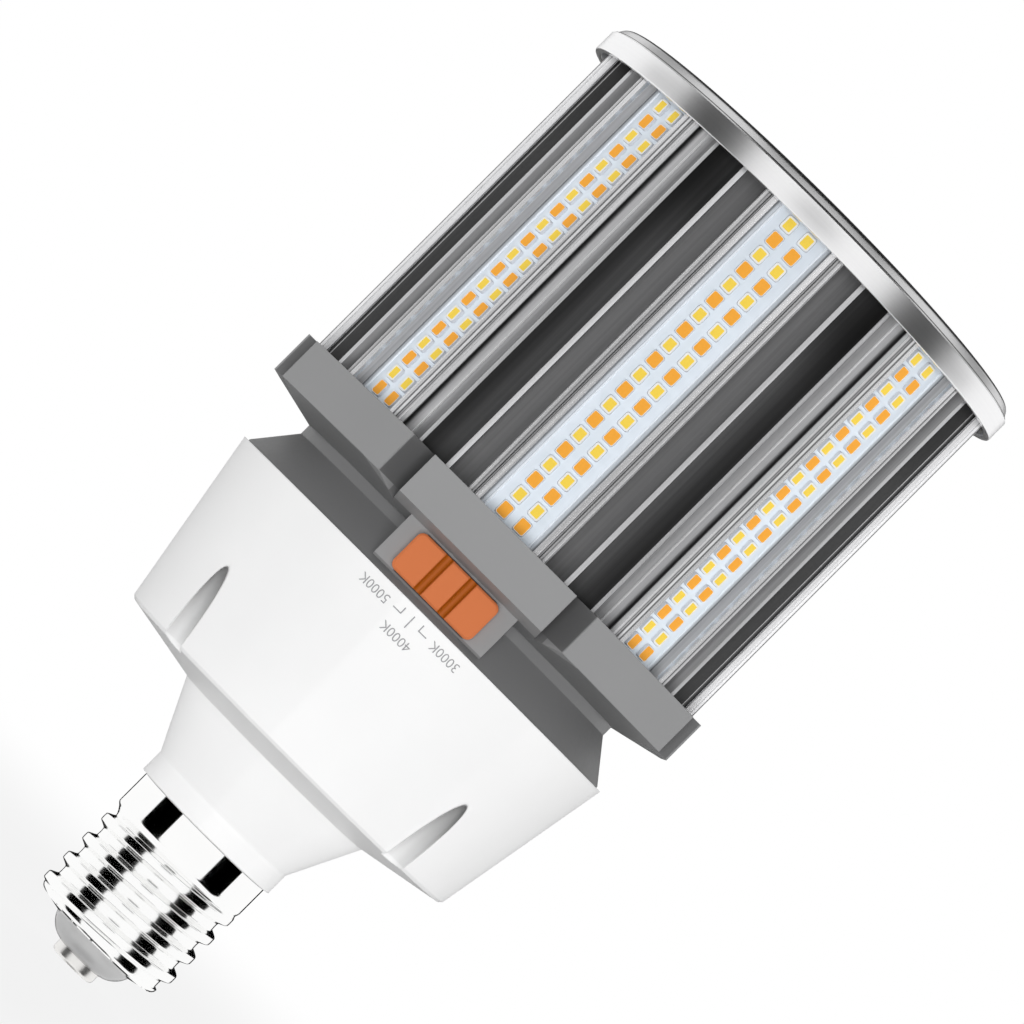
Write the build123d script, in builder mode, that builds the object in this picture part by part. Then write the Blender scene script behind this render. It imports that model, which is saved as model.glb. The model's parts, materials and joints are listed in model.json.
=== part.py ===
from build123d import *

import os
from math import cos, hypot, radians, sin, sqrt, tan

os.makedirs("parts", exist_ok=True)

# A mogul-base LED lamp, standing on its centre contact: +Z runs from the base to the cap.
# The origin is the contact's tip on the lamp's axis. Panel 1 and the colour switch face -Y.

# Fits
slip = 0.1                  # between pieces that seat in one another
travel_gap = 0.3            # between the knob and everything that it slides past

# Screw base
contact_diameter = 12.6
contact_height = 2.8
contact_round = 1.0
rivet_diameter = 3.6
insulator_drop = 4.7        # from the shell's lower edge down to the contact
insulator_diameter = 23.6
insulator_bulge = 0.4       # by which the dish bows out and down
insulator_flange = 3.0      # thickness of the disc held inside the shell
shell_diameter = 39.2       # over the thread's crests
shell_length = 37.5
shell_lip = 1.0             # rolled lip that holds the insulator
shell_wall = 0.6
shell_shoulder = 1.9
thread_pitch = 6.35
thread_depth = 2.05
thread_start = 2.35         # groove's first turn, below the shell's lower edge
thread_crest = 1.35         # flat left between two turns of the groove
groove_root = 1.3           # width of the groove's floor
thread_band = 10.6          # plain band above the groove's middle line

# Driver housing
housing_wall = 2.0
ring_diameter = 41.7        # ring that seats on the shell's upper edge
ring_height = 5.8
neck_diameter = 58.4
neck_height = 17.1
lower_diameter = 102.8
underside_rise = 4.1
rim_diameter = 118.8
wall_height = 45.3
rim_width = 1.2
rim_rebate = 1.8            # step inside the rim on which the collar sits
housing_edge_bevel = 0.7
channel_diameter = 7.4      # screw channels that run out through the wall as tear drops
channel_wall = 1.6
channel_inset = 8.0         # from the rim's outside to the channels' circle
channel_length = 28.0
channel_floor = 2.5
channel_count = 4

# Mounting collar
collar_wall = 2.2
reveal = 0.4                # upright edge between the rim and the slope
slope_height = 9.5
waist_diameter = 101.0
waist_height = 2.8
flare_rise = 3.3
block_height = 11.5
floor_thickness = 2.7
lead_hole_diameter = 74.0
socket_fit = 0.4            # from the heat sink's lips to the socket's wall
notch_fit = 0.9             # from the fins to the wall of the notches
post_diameter = 5.6

# Heat sink
panel_count = 8
sink_length = 111.4
core_apothem = 47.4
core_wall = 2.5
seat_height = 9.4           # board seat above the core
seat_plate = 2.5
lip_height = 5.2            # lip above the board seat
lip_width = 1.64
lip_groove = 0.5            # small groove between lip and ridge
lip_groove_depth = 1.4
ridge_width = 1.4
ridge_drop = 1.0            # ridge below the lip's top
undercut_drop = 1.6         # dark line below the ridge's top
undercut_depth = 0.5
duct_wall = 2.0
bead_overlap = 0.2          # by which the channel's beads reach over the board
rib_height = 0.35           # fine ribs on the channel's outer walls
rib_count = 2
fin_thickness = 1.2
fin_height = 10.8
port_diameter = 6.4         # screw ports inside the core
port_sink = 1.0             # by which a port runs into the core's wall
port_count = 4

# LED boards
board_width = 17.5
board_thickness = 1.2
lead_room = 3.0             # bare seat below each board
board_margin = 5.5          # from a board's end to the field of packages
led_pitch = 4.83
row_spacing = 5.58
led_width = 3.4
led_length = 4.0
led_height = 0.8

# Cap
cap_fit = 1.07
cap_wall = 1.8
cap_plate = 2.0
cap_overlap = 6.5           # by which the cap reaches down over the heat sink
cap_round = 3.7

# Colour switch
boss_width = 34.3
boss_rise = 1.25            # boss's lower edge above the slope's lower edge
knob_width = 25.4
knob_margin = 0.8           # bare face above and below the knob
knob_thickness = 2.5
knob_corner = 1.8
knob_edge = 0.5
knob_middle = 5.0           # raised bar between the two grip grooves
knob_groove_mouth = 2.6
knob_groove_floor = 1.5
knob_groove_depth = 1.2
knob_travel = 2.9           # to each side of the middle position
stem_width = 6.0
stem_height = 3.0
barb_height = 1.0
barb_thickness = 1.2
prong_width = 2.5
prong_height = 2.0
prong_length = 3.2
switch_depth = 6.0
switch_board_thickness = 1.6
switch_post_diameter = 3.4

# Screws: the groups of four share one size, and the two of the switch are smaller
screw_diameter = 3.0
screw_length = 12.0
screw_head_diameter = 5.6
screw_head_height = 2.2
screw_head_angle = 90       # of the cap's flush heads
small_screw_diameter = 1.8
small_screw_length = 5.0
small_head_diameter = 3.4
small_head_height = 1.3

# Driver
driver_board_height = 36.0
driver_board_thickness = 1.6
driver_board_inset = 3.8    # from the housing's inner wall to the board's edge
guide_reach = 2.5           # by which the guides reach over the board's edges
guide_width = 6.0
driver_spacing = 3.0        # between components
transformer_width = 27.0
transformer_height = 24.0
transformer_depth = 19.0
core_height = 15.0          # of the transformer's core, which its winding passes through
capacitor_diameter = 16.0
capacitor_length = 25.0
choke_diameter = 14.0
choke_length = 13.0
rectifier_width = 14.0
rectifier_height = 11.0
rectifier_thickness = 3.6

# Heights along the axis
z_shell = contact_height + insulator_drop
z_flange = z_shell + shell_lip
z_spigot = z_flange + insulator_flange
z_ring = z_shell + shell_length
z_neck = z_ring + ring_height
z_underside = z_neck + neck_height
z_wall = z_underside + underside_rise
z_channel = z_wall + channel_length
z_post = z_channel + channel_floor
z_rim = z_wall + wall_height
z_ledge = z_rim - rim_rebate
z_slope = z_rim + reveal
z_waist = z_slope + slope_height
z_flare = z_waist + waist_height
z_blocks = z_flare + flare_rise
z_socket = z_blocks + block_height
z_sink = z_blocks + floor_thickness
z_sink_top = z_sink + sink_length
z_cap = z_sink_top - cap_overlap
z_cap_top = z_sink_top + cap_plate

# Radii of the round pieces
crest = shell_diameter / 2
root = crest - thread_depth
shell_bore = root - shell_wall
spigot = shell_bore - slip
contact_radius = contact_diameter / 2
insulator_radius = insulator_diameter / 2
insulator_middle = (contact_radius + insulator_radius) / 2
slope_radius = rim_diameter / 2 - rim_width - slip
waist = waist_diameter / 2
channel_circle = rim_diameter / 2 - channel_inset
screw_hole = screw_diameter / 2 + slip
small_hole = small_screw_diameter / 2 + slip

# Distances in the heat sink's section: out from the axis, or to the side of a panel's middle
half_angle = 180 / panel_count
first_corner = half_angle - 90
seat_out = core_apothem + seat_height
board_out = seat_out + board_thickness
lip_out = seat_out + lip_height
ridge_out = lip_out - ridge_drop
channel_side = board_width / 2 + slip
bead_side = channel_side - slip - bead_overlap
lip_side = bead_side + lip_width
ridge_side = lip_side + lip_groove + ridge_width
fin_side = core_apothem * tan(radians(half_angle))
port_circle = core_apothem - core_wall - port_diameter / 2 + port_sink
sink_radius = hypot(lip_out, lip_side)
block_out = lip_out + socket_fit + collar_wall
block_side = fin_side + notch_fit + collar_wall
cap_radius = sink_radius + cap_fit + cap_wall

# Places of the switch, from the boss's face inwards
slope_run = (slope_radius - waist) / slope_height
z_boss = z_slope + boss_rise
boss_face = slope_radius - slope_run * boss_rise
boss_inner = boss_face - collar_wall
z_boss_top = z_flare + flare_rise * (boss_face - waist) / (block_out - waist)
z_knob = (z_boss + z_boss_top) / 2
knob_height = z_boss_top - z_boss - 2 * knob_margin
knob_back = boss_face + travel_gap
barb_back = boss_inner - travel_gap - barb_thickness
switch_front = barb_back - travel_gap
switch_back = switch_front - switch_depth
room_width = boss_width - 2 * collar_wall
room_height = z_boss_top - z_boss - 2 * collar_wall
switch_height = room_height - 2 * travel_gap
switch_board_width = room_width - 2 * travel_gap
switch_post_side = (switch_board_width - switch_post_diameter) / 2
switch_width = 2 * (switch_post_side - travel_gap) - switch_post_diameter
switch_posts = [(-switch_post_side, 0), (switch_post_side, 0)]

# Solids that stand on their plane, or hang below it
above = (Align.CENTER, Align.CENTER, Align.MIN)
below = (Align.CENTER, Align.CENTER, Align.MAX)


def channel_places():
    """The housing's screw channels, half a step away from the switch."""
    return PolarLocations(channel_circle, channel_count, start_angle=180 / channel_count)


def port_places():
    """The screw ports of the heat sink, half a step away from the switch."""
    return PolarLocations(port_circle, port_count, start_angle=180 / port_count)


def panel_places():
    """One place for each panel, turned so that x points out of the panel."""
    return PolarLocations(0, panel_count, start_angle=-90)


def panel_plane(number, out, height):
    """A plane on a panel: x runs across the panel, y up the lamp and z outwards."""
    angle = radians(360 / panel_count * (number - 1) - 90)
    normal = Vector(cos(angle), sin(angle), 0)
    across = Vector(-sin(angle), cos(angle), 0)
    return Plane(origin=normal * out + Vector(0, 0, height), x_dir=across, z_dir=normal)


def softened(start, corner, end):
    """A rounded corner of a profile as two bevels, whose middle point lies on the round."""
    start, corner, end = Vector(*start), Vector(*corner), Vector(*end)
    centre = start + end - corner
    middle = centre + (corner - centre) * sqrt(0.5)
    return [(point.X, point.Y) for point in (start, middle, end)]


def save(part, name):
    """Label a finished piece and write it under its name."""
    part.label = name
    export_step(part, f"parts/{name}.step")


# Centre contact: a button with a rivet shank through the insulator
rivet_end = z_spigot + rivet_diameter / 2
with BuildPart() as centre_contact:
    with BuildSketch(Plane.XZ):
        Polygon(
            (0, 0),
            *softened(
                (contact_radius - contact_round, 0),
                (contact_radius, 0),
                (contact_radius, contact_round),
            ),
            (contact_radius, contact_height),
            (rivet_diameter / 2, contact_height),
            (rivet_diameter / 2, rivet_end),
            (0, rivet_end),
        )
    revolve(axis=Axis.Z)
save(centre_contact.part, "centre_contact")

# Insulator: a dish below the shell, and a flange held between the shell's lip and the spigot
with BuildPart() as base_insulator:
    with BuildSketch(Plane.XZ):
        Polygon(
            (contact_radius, contact_height),
            (insulator_middle + insulator_bulge, (contact_height + z_shell) / 2 - insulator_bulge),
            (insulator_radius, z_shell),
            (insulator_radius, z_flange),
            (spigot, z_flange),
            (spigot, z_spigot),
            (rivet_diameter / 2 + slip, z_spigot),
            (rivet_diameter / 2 + slip, contact_height),
        )
    revolve(axis=Axis.Z)
save(base_insulator.part, "base_insulator")

# Screw shell: a cup whose thread is one groove that winds up from the lower edge to the plain band
groove_mouth = thread_pitch - thread_crest
groove_start = z_shell - thread_start
groove_height = z_ring - thread_band - groove_start
with BuildPart() as screw_shell:
    with BuildSketch(Plane.XZ):
        Polygon(
            (insulator_radius + slip, z_flange),
            (insulator_radius + slip, z_shell),
            *softened(
                (crest - shell_shoulder, z_shell),
                (crest, z_shell),
                (crest, z_shell + shell_shoulder),
            ),
            (crest, z_ring),
            (shell_bore, z_ring),
            (shell_bore, z_flange),
        )
    revolve(axis=Axis.Z)
    with BuildLine(mode=Mode.PRIVATE) as winding:
        Helix(thread_pitch, groove_height, crest, center=(0, 0, groove_start))
    with BuildSketch(Plane(origin=winding.line @ 0, x_dir=(1, 0, 0), z_dir=winding.line % 0)):
        Polygon(
            (-thread_depth, -groove_root / 2),
            (0, -groove_mouth / 2),
            (thread_depth, -groove_mouth / 2),
            (thread_depth, groove_mouth / 2),
            (0, groove_mouth / 2),
            (-thread_depth, groove_root / 2),
        )
    sweep(path=winding.line, is_frenet=True, mode=Mode.SUBTRACT)
save(screw_shell.part, "screw_shell")

# Driver housing: the hollow inside, with the walls of the screw channels and two board guides left standing
inner_lower = lower_diameter / 2 - housing_wall
wall_run = (rim_diameter - lower_diameter) / 2 / wall_height
inner_ledge = rim_diameter / 2 - housing_wall - rim_rebate * wall_run
board_side = inner_lower - driver_board_inset
z_driver = z_wall + housing_wall + guide_reach
with BuildPart() as housing_cavity:
    with BuildSketch(Plane.XZ):
        Polygon(
            (0, z_spigot),
            (spigot - housing_wall, z_spigot),
            (spigot - housing_wall, z_neck),
            (neck_diameter / 2 - housing_wall, z_underside + housing_wall),
            (inner_lower, z_wall + housing_wall),
            (inner_ledge, z_ledge),
            (rim_diameter / 2 - rim_width, z_ledge),
            (rim_diameter / 2 - rim_width, z_rim),
            (0, z_rim),
        )
    revolve(axis=Axis.Z)
    with BuildSketch(Plane.XY.offset(z_underside)):
        with channel_places():
            Circle(channel_diameter / 2 + channel_wall)
    extrude(amount=z_post - z_underside, mode=Mode.SUBTRACT)
    with BuildSketch(Plane.XY.offset(z_underside)):
        with PolarLocations(board_side - guide_reach, 2):
            Rectangle(rim_diameter / 2, guide_width, align=(Align.MIN, Align.CENTER))
    extrude(amount=z_driver + driver_board_height - z_underside, mode=Mode.SUBTRACT)
    with BuildSketch(Plane.XY.offset(z_driver)):
        Rectangle(2 * (board_side + slip), driver_board_thickness + 2 * slip)
    extrude(amount=driver_board_height)

# Driver housing: spigot, ring, conical neck, shallow underside and the tapered wall up to the rim
with BuildPart() as driver_housing:
    with BuildSketch(Plane.XZ):
        Polygon(
            (0, z_spigot),
            (spigot, z_spigot),
            (spigot, z_ring),
            (ring_diameter / 2, z_ring),
            (ring_diameter / 2, z_neck),
            (neck_diameter / 2, z_underside),
            (lower_diameter / 2, z_wall),
            (rim_diameter / 2, z_rim),
            (0, z_rim),
        )
    revolve(axis=Axis.Z)
    circles = driver_housing.edges().filter_by(GeomType.CIRCLE)
    chamfer(circles.filter_by_position(Axis.Z, z_wall, z_wall), housing_edge_bevel)
    add(housing_cavity.part, mode=Mode.SUBTRACT)
    with BuildSketch(Plane.XY.offset(z_underside)):
        with channel_places():
            Circle(channel_diameter / 2)
    extrude(amount=z_channel - z_underside, mode=Mode.SUBTRACT)
    with BuildSketch(Plane.XY.offset(z_channel)):
        with channel_places():
            Circle(screw_hole)
    extrude(amount=channel_floor, mode=Mode.SUBTRACT)
save(driver_housing.part, "driver_housing")

# Mounting collar: the hollow inside, with room for the switch and with the screw posts left standing
with BuildPart() as collar_cavity:
    with BuildSketch(Plane.XZ):
        Polygon(
            (0, z_ledge),
            (slope_radius - collar_wall, z_ledge),
            (slope_radius - collar_wall, z_slope),
            (waist - collar_wall, z_waist),
            (waist - collar_wall, z_blocks),
            (0, z_blocks),
        )
    revolve(axis=Axis.Z)
    with BuildSketch(Plane.XY.offset(z_ledge)):
        with channel_places():
            Circle(post_diameter / 2)
    extrude(amount=z_blocks - z_ledge, mode=Mode.SUBTRACT)
    with BuildSketch(panel_plane(1, 0, z_knob)):
        Rectangle(room_width, room_height)
    extrude(amount=boss_inner)
    with BuildSketch(panel_plane(1, switch_back, z_knob)):
        with Locations(*switch_posts):
            Circle(switch_post_diameter / 2)
    extrude(amount=boss_inner - switch_back, mode=Mode.SUBTRACT)

# Mounting collar: slope and waist below, flared blocks above, and the switch's boss in front
with BuildPart() as mounting_collar:
    with BuildSketch(Plane.XZ):
        Polygon(
            (0, z_ledge),
            (slope_radius, z_ledge),
            (slope_radius, z_slope),
            (waist, z_waist),
            (waist, z_flare),
            (0, z_flare),
        )
    revolve(axis=Axis.Z)
    with BuildSketch(Plane.XY.offset(z_flare)):
        RegularPolygon(waist, panel_count, major_radius=False, rotation=first_corner)
    with BuildSketch(Plane.XY.offset(z_blocks)):
        RegularPolygon(block_out, panel_count, major_radius=False, rotation=first_corner)
    loft()
    with BuildSketch(Plane.XY.offset(z_blocks)):
        RegularPolygon(block_out, panel_count, major_radius=False, rotation=first_corner)
    extrude(amount=block_height)
    # notches between the blocks: what lies outside every block's strip is cut away
    with BuildSketch(Plane.XY.offset(z_ledge)):
        with panel_places():
            Rectangle(block_out, 2 * block_side, align=(Align.MIN, Align.CENTER))
    extrude(amount=z_socket - z_ledge, mode=Mode.INTERSECT)
    with BuildSketch(panel_plane(1, 0, z_boss)):
        Rectangle(boss_width, z_boss_top - z_boss, align=(Align.CENTER, Align.MIN))
    extrude(amount=boss_face)
    add(collar_cavity.part, mode=Mode.SUBTRACT)
    # socket for the heat sink, and the holes in its floor for leads and screws
    with BuildSketch(Plane.XY.offset(z_sink)):
        with panel_places():
            Rectangle(lip_out + socket_fit, 2 * (fin_side + notch_fit), align=(Align.MIN, Align.CENTER))
    extrude(amount=z_socket - z_sink, mode=Mode.SUBTRACT)
    with BuildSketch(Plane.XY.offset(z_blocks)):
        Circle(lead_hole_diameter / 2)
        with port_places():
            Circle(screw_hole)
    extrude(amount=floor_thickness, mode=Mode.SUBTRACT)
    with BuildSketch(Plane.XY.offset(z_blocks)):
        with port_places():
            Circle(screw_head_diameter / 2 + slip)
    extrude(amount=-screw_head_height - slip, mode=Mode.SUBTRACT)
    # lower ends of the screw posts, down to the floors of the housing's channels
    with BuildSketch(Plane.XY.offset(z_post)):
        with channel_places():
            Circle(post_diameter / 2)
    extrude(amount=z_slope - z_post)
    with BuildSketch(Plane.XY.offset(z_post)):
        with channel_places():
            Circle(screw_hole)
    extrude(amount=screw_length - channel_floor + slip, mode=Mode.SUBTRACT)
    # slot for the knob's stem, and holes in the switch's posts
    with BuildSketch(panel_plane(1, boss_inner, z_knob)):
        Rectangle(stem_width + 2 * (knob_travel + travel_gap), stem_height + 2 * travel_gap)
    extrude(amount=collar_wall, mode=Mode.SUBTRACT)
    with BuildSketch(panel_plane(1, switch_back, z_knob)):
        with Locations(*switch_posts):
            Circle(small_hole)
    extrude(amount=small_screw_length - switch_board_thickness + slip, mode=Mode.SUBTRACT)
save(mounting_collar.part, "mounting_collar")

# Heat sink: the section of one side, a board channel with its lips and ribs between two fins
undercut_out = ridge_out - undercut_drop
rib_step = (undercut_out - core_apothem) / (rib_count + 1)
wall_ribs = []
for rib in range(1, rib_count + 1):
    rib_out = core_apothem + rib * rib_step
    wall_ribs += [
        (rib_out - rib_height, ridge_side),
        (rib_out, ridge_side + rib_height),
        (rib_out + rib_height, ridge_side),
    ]
core_middle = core_apothem - core_wall / 2
duct_height = seat_height - seat_plate
with BuildSketch() as side_section:
    with BuildLine():
        Polyline(
            (core_middle, 0),
            (core_middle, ridge_side),
            *wall_ribs,
            (undercut_out - undercut_depth / 2, ridge_side),
            (undercut_out, ridge_side - undercut_depth),
            (undercut_out + undercut_depth / 2, ridge_side),
            (ridge_out, ridge_side),
            (ridge_out, ridge_side - ridge_width),
            (lip_out - lip_groove_depth, lip_side + lip_groove / 2),
            (lip_out, lip_side),
            (lip_out, bead_side),
            (board_out + slip, bead_side),
            (board_out + slip, channel_side),
            (seat_out, channel_side),
            (seat_out, 0),
        )
        mirror(about=Plane.XZ)
    make_face()
    with Locations((core_apothem + duct_height / 2, 0)):
        Rectangle(duct_height, 2 * (ridge_side - duct_wall), mode=Mode.SUBTRACT)
    fin_middle = fin_side - fin_thickness / 2
    with Locations((core_middle, fin_middle), (core_middle, -fin_middle)):
        Rectangle(core_wall / 2 + fin_height, fin_thickness, align=(Align.MIN, Align.CENTER))

# Heat sink: the section's sides around an eight-sided core with screw ports, extruded in one piece
with BuildPart() as heat_sink:
    with BuildSketch(Plane.XY.offset(z_sink)):
        RegularPolygon(core_apothem, panel_count, major_radius=False, rotation=first_corner)
        with panel_places():
            add(side_section.sketch)
        core_bore = core_apothem - core_wall
        RegularPolygon(
            core_bore, panel_count, major_radius=False, rotation=first_corner, mode=Mode.SUBTRACT
        )
        with port_places():
            Circle(port_diameter / 2)
        with port_places():
            Circle(screw_hole, mode=Mode.SUBTRACT)
    extrude(amount=sink_length)
save(heat_sink.part, "heat_sink")

# LED boards with their packages: two rows on each board, the two colours by turns up the lamp
board_length = sink_length - lead_room - slip
z_board = z_sink + lead_room + board_length / 2
led_count = int((board_length - 2 * board_margin) / led_pitch)
warm_count = (led_count + 1) // 2
cool_count = led_count // 2
warm_shift = (warm_count - 1 - (led_count - 1) / 2) * led_pitch
cool_shift = (cool_count - (led_count - 1) / 2) * led_pitch
for number in range(1, panel_count + 1):
    with BuildPart(panel_plane(number, seat_out, z_board)) as led_board:
        Box(board_width, board_length, board_thickness, align=above)
    save(led_board.part, f"led_board_{number}")
    with BuildPart(panel_plane(number, board_out, z_board + warm_shift)) as warm_leds:
        with GridLocations(row_spacing, 2 * led_pitch, 2, warm_count):
            Box(led_width, led_length, led_height, align=above)
    save(warm_leds.part, f"warm_leds_{number}")
    with BuildPart(panel_plane(number, board_out, z_board + cool_shift)) as cool_leds:
        with GridLocations(row_spacing, 2 * led_pitch, 2, cool_count):
            Box(led_width, led_length, led_height, align=above)
    save(cool_leds.part, f"cool_leds_{number}")

# Cap: a shallow round cup over the heat sink's upper end
with BuildPart() as top_cap:
    with BuildSketch(Plane.XZ):
        Polygon(
            (cap_radius, z_cap),
            *softened(
                (cap_radius, z_cap_top - cap_round),
                (cap_radius, z_cap_top),
                (cap_radius - cap_round, z_cap_top),
            ),
            (0, z_cap_top),
            (0, z_sink_top),
            (cap_radius - cap_wall, z_sink_top),
            (cap_radius - cap_wall, z_cap),
        )
    revolve(axis=Axis.Z)
    with Locations(top_cap.faces().sort_by(Axis.Z)[-1]):
        with port_places():
            CounterSinkHole(screw_hole, screw_head_diameter / 2 + slip, cap_plate, screw_head_angle)
save(top_cap.part, "top_cap")

# Flush screws through the cap into the heat sink's ports
with BuildPart(Plane.XY.offset(z_cap_top)) as cap_screws:
    with port_places():
        Cone(
            screw_diameter / 2,
            screw_head_diameter / 2,
            (screw_head_diameter - screw_diameter) / 2 / tan(radians(screw_head_angle / 2)),
            align=below,
        )
        Cylinder(screw_diameter / 2, screw_length, align=below)
save(cap_screws.part, "cap_screws")

# Screws from below the collar's floor into the same ports
with BuildPart(Plane.XY.offset(z_blocks)) as collar_screws:
    with port_places():
        Cylinder(screw_head_diameter / 2, screw_head_height, align=below)
        Cylinder(screw_diameter / 2, screw_length, align=above)
save(collar_screws.part, "collar_screws")

# Screws at the ends of the housing's channels, into the collar's posts
with BuildPart(Plane.XY.offset(z_channel)) as housing_screws:
    with channel_places():
        Cylinder(screw_head_diameter / 2, screw_head_height, align=below)
        Cylinder(screw_diameter / 2, screw_length, align=above)
save(housing_screws.part, "housing_screws")

# Switch knob: a grooved pad in front of the boss, a stem through its wall, snap barbs and a prong
with BuildPart() as switch_knob:
    with BuildSketch(panel_plane(1, knob_back, z_knob)):
        RectangleRounded(knob_width, knob_height, knob_corner)
    extrude(amount=knob_thickness)
    chamfer(switch_knob.edges().group_by(Axis.Y)[0], knob_edge)
    groove_side = (knob_middle + knob_groove_mouth) / 2
    knob_front = knob_back + knob_thickness
    with BuildSketch(Plane.XY.offset(z_knob - knob_height / 2)):
        with Locations((-groove_side, -knob_front), (groove_side, -knob_front)):
            Polygon(
                (-knob_groove_mouth / 2, 0),
                (knob_groove_mouth / 2, 0),
                (knob_groove_floor / 2, knob_groove_depth),
                (-knob_groove_floor / 2, knob_groove_depth),
            )
    extrude(amount=knob_height, mode=Mode.SUBTRACT)
    with BuildSketch(panel_plane(1, barb_back, z_knob)):
        Rectangle(stem_width, stem_height)
    extrude(amount=knob_back - barb_back)
    with BuildSketch(panel_plane(1, barb_back, z_knob)):
        Rectangle(stem_width, stem_height + 2 * barb_height)
    extrude(amount=barb_thickness)
    with BuildSketch(panel_plane(1, barb_back - prong_length, z_knob)):
        Rectangle(prong_width, prong_height)
    extrude(amount=prong_length)
save(switch_knob.part, "switch_knob")

# Slide switch behind the boss, with a slot for the knob's prong
with BuildPart() as switch_body:
    with BuildSketch(panel_plane(1, switch_back, z_knob)):
        Rectangle(switch_width, switch_height)
    extrude(amount=switch_depth)
    with BuildSketch(panel_plane(1, switch_front - prong_length, z_knob)):
        Rectangle(prong_width + 2 * (knob_travel + travel_gap), prong_height + 2 * travel_gap)
    extrude(amount=prong_length, mode=Mode.SUBTRACT)
save(switch_body.part, "switch_body")

# Small board that carries the switch on the collar's two posts
with BuildPart() as switch_board:
    with BuildSketch(panel_plane(1, switch_back - switch_board_thickness, z_knob)):
        Rectangle(switch_board_width, switch_height)
        with Locations(*switch_posts):
            Circle(small_hole, mode=Mode.SUBTRACT)
    extrude(amount=switch_board_thickness)
save(switch_board.part, "switch_board")

with BuildPart(panel_plane(1, switch_back - switch_board_thickness, z_knob)) as switch_screws:
    with Locations(*switch_posts):
        Cylinder(small_head_diameter / 2, small_head_height, align=below)
        Cylinder(small_screw_diameter / 2, small_screw_length, align=above)
save(switch_screws.part, "switch_screws")

# Driver board, upright in the housing's guides, and the components on its two faces
driver_middle = z_driver + driver_board_height / 2
driver_face = driver_board_thickness / 2
driver_front = Plane(origin=(0, -driver_face, driver_middle), x_dir=(1, 0, 0), z_dir=(0, -1, 0))
driver_rear = Plane(origin=(0, driver_face, driver_middle), x_dir=(-1, 0, 0), z_dir=(0, 1, 0))
field_side = board_side - guide_reach - driver_spacing
with BuildPart() as driver_board:
    with Locations((0, 0, driver_middle)):
        Box(2 * board_side, driver_board_thickness, driver_board_height)
save(driver_board.part, "driver_board")

transformer_at = transformer_width / 2 - field_side
with BuildPart(driver_front) as transformer:
    with Locations((transformer_at, 0)):
        Box(transformer_width, core_height, transformer_depth, align=above)
        Box(transformer_width - core_height / 2, transformer_height, transformer_depth - slip, align=above)
save(transformer.part, "transformer")

choke_at = transformer_at + transformer_width / 2 + driver_spacing + choke_diameter / 2
with BuildPart(driver_front) as choke_coil:
    with Locations((choke_at, 0)):
        Cylinder(choke_diameter / 2, choke_length, align=above)
save(choke_coil.part, "choke_coil")

with BuildPart(driver_front) as rectifier:
    with Locations((field_side - rectifier_width / 2, 0)):
        Box(rectifier_width, rectifier_height, rectifier_thickness, align=above)
save(rectifier.part, "rectifier")

capacitor_at = (capacitor_diameter + driver_spacing) / 2
with BuildPart(driver_rear) as bulk_capacitors:
    with Locations((-capacitor_at, 0), (capacitor_at, 0)):
        Cylinder(capacitor_diameter / 2, capacitor_length, align=above)
save(bulk_capacitors.part, "bulk_capacitors")
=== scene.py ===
# %% [markdown]
# # Dressing a mogul-base LED lamp
# The lamp arrives as a frame of CAD pieces, each at its true size and place. This lesson gives every
# piece its finish, models the forms that a press, a lathe or a mould leaves on the real one, and then
# sets up a light tent and a camera. The frame comes first, because sizes are read from it.

# %% Load the frame
import json
from math import cos, hypot, pi, radians, sin, sqrt

import bmesh
import bpy
from mathutils import Matrix, Vector


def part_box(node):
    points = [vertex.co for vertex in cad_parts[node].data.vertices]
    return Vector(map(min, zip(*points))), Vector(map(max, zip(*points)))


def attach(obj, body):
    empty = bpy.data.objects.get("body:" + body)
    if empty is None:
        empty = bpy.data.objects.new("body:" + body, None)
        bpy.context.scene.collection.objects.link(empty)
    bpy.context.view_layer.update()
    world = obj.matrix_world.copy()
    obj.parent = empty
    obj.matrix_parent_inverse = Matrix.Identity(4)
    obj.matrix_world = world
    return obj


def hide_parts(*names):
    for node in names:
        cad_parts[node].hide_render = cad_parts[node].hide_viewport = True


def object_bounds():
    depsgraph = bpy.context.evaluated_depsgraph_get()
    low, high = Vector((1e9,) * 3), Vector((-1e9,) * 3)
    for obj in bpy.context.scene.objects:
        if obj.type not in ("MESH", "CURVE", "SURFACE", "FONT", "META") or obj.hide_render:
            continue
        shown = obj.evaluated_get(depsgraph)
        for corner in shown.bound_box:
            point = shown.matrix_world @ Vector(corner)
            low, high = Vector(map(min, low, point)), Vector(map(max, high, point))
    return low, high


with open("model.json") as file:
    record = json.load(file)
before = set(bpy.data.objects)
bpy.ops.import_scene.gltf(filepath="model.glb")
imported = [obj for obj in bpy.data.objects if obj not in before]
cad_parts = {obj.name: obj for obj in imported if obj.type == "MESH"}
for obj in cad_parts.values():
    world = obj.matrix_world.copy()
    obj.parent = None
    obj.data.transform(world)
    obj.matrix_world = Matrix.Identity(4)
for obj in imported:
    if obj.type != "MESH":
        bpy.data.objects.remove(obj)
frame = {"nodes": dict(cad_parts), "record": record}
nodes = frame["nodes"]
cad_box = [list(corner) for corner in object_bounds()]
scene = bpy.context.scene
scene.view_settings.view_transform = "Standard"
mm = 0.001
lamp_top = cad_box[1][2]
for plain_colour in list(bpy.data.materials):
    bpy.data.materials.remove(plain_colour)
print(f"{len(nodes)} CAD pieces, {lamp_top / mm:.1f} mm tall")

# %% [markdown]
# ## Shader sums in plain Python
# A finish is a sum of patterns, and sums read best as Python. One small class wraps a node's output, so
# that `1 - mask` adds a Math node by itself. A second class holds one material and adds any other node:
# its settings first, then its sockets. With these two, most finishes below are only a few lines long.

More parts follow.
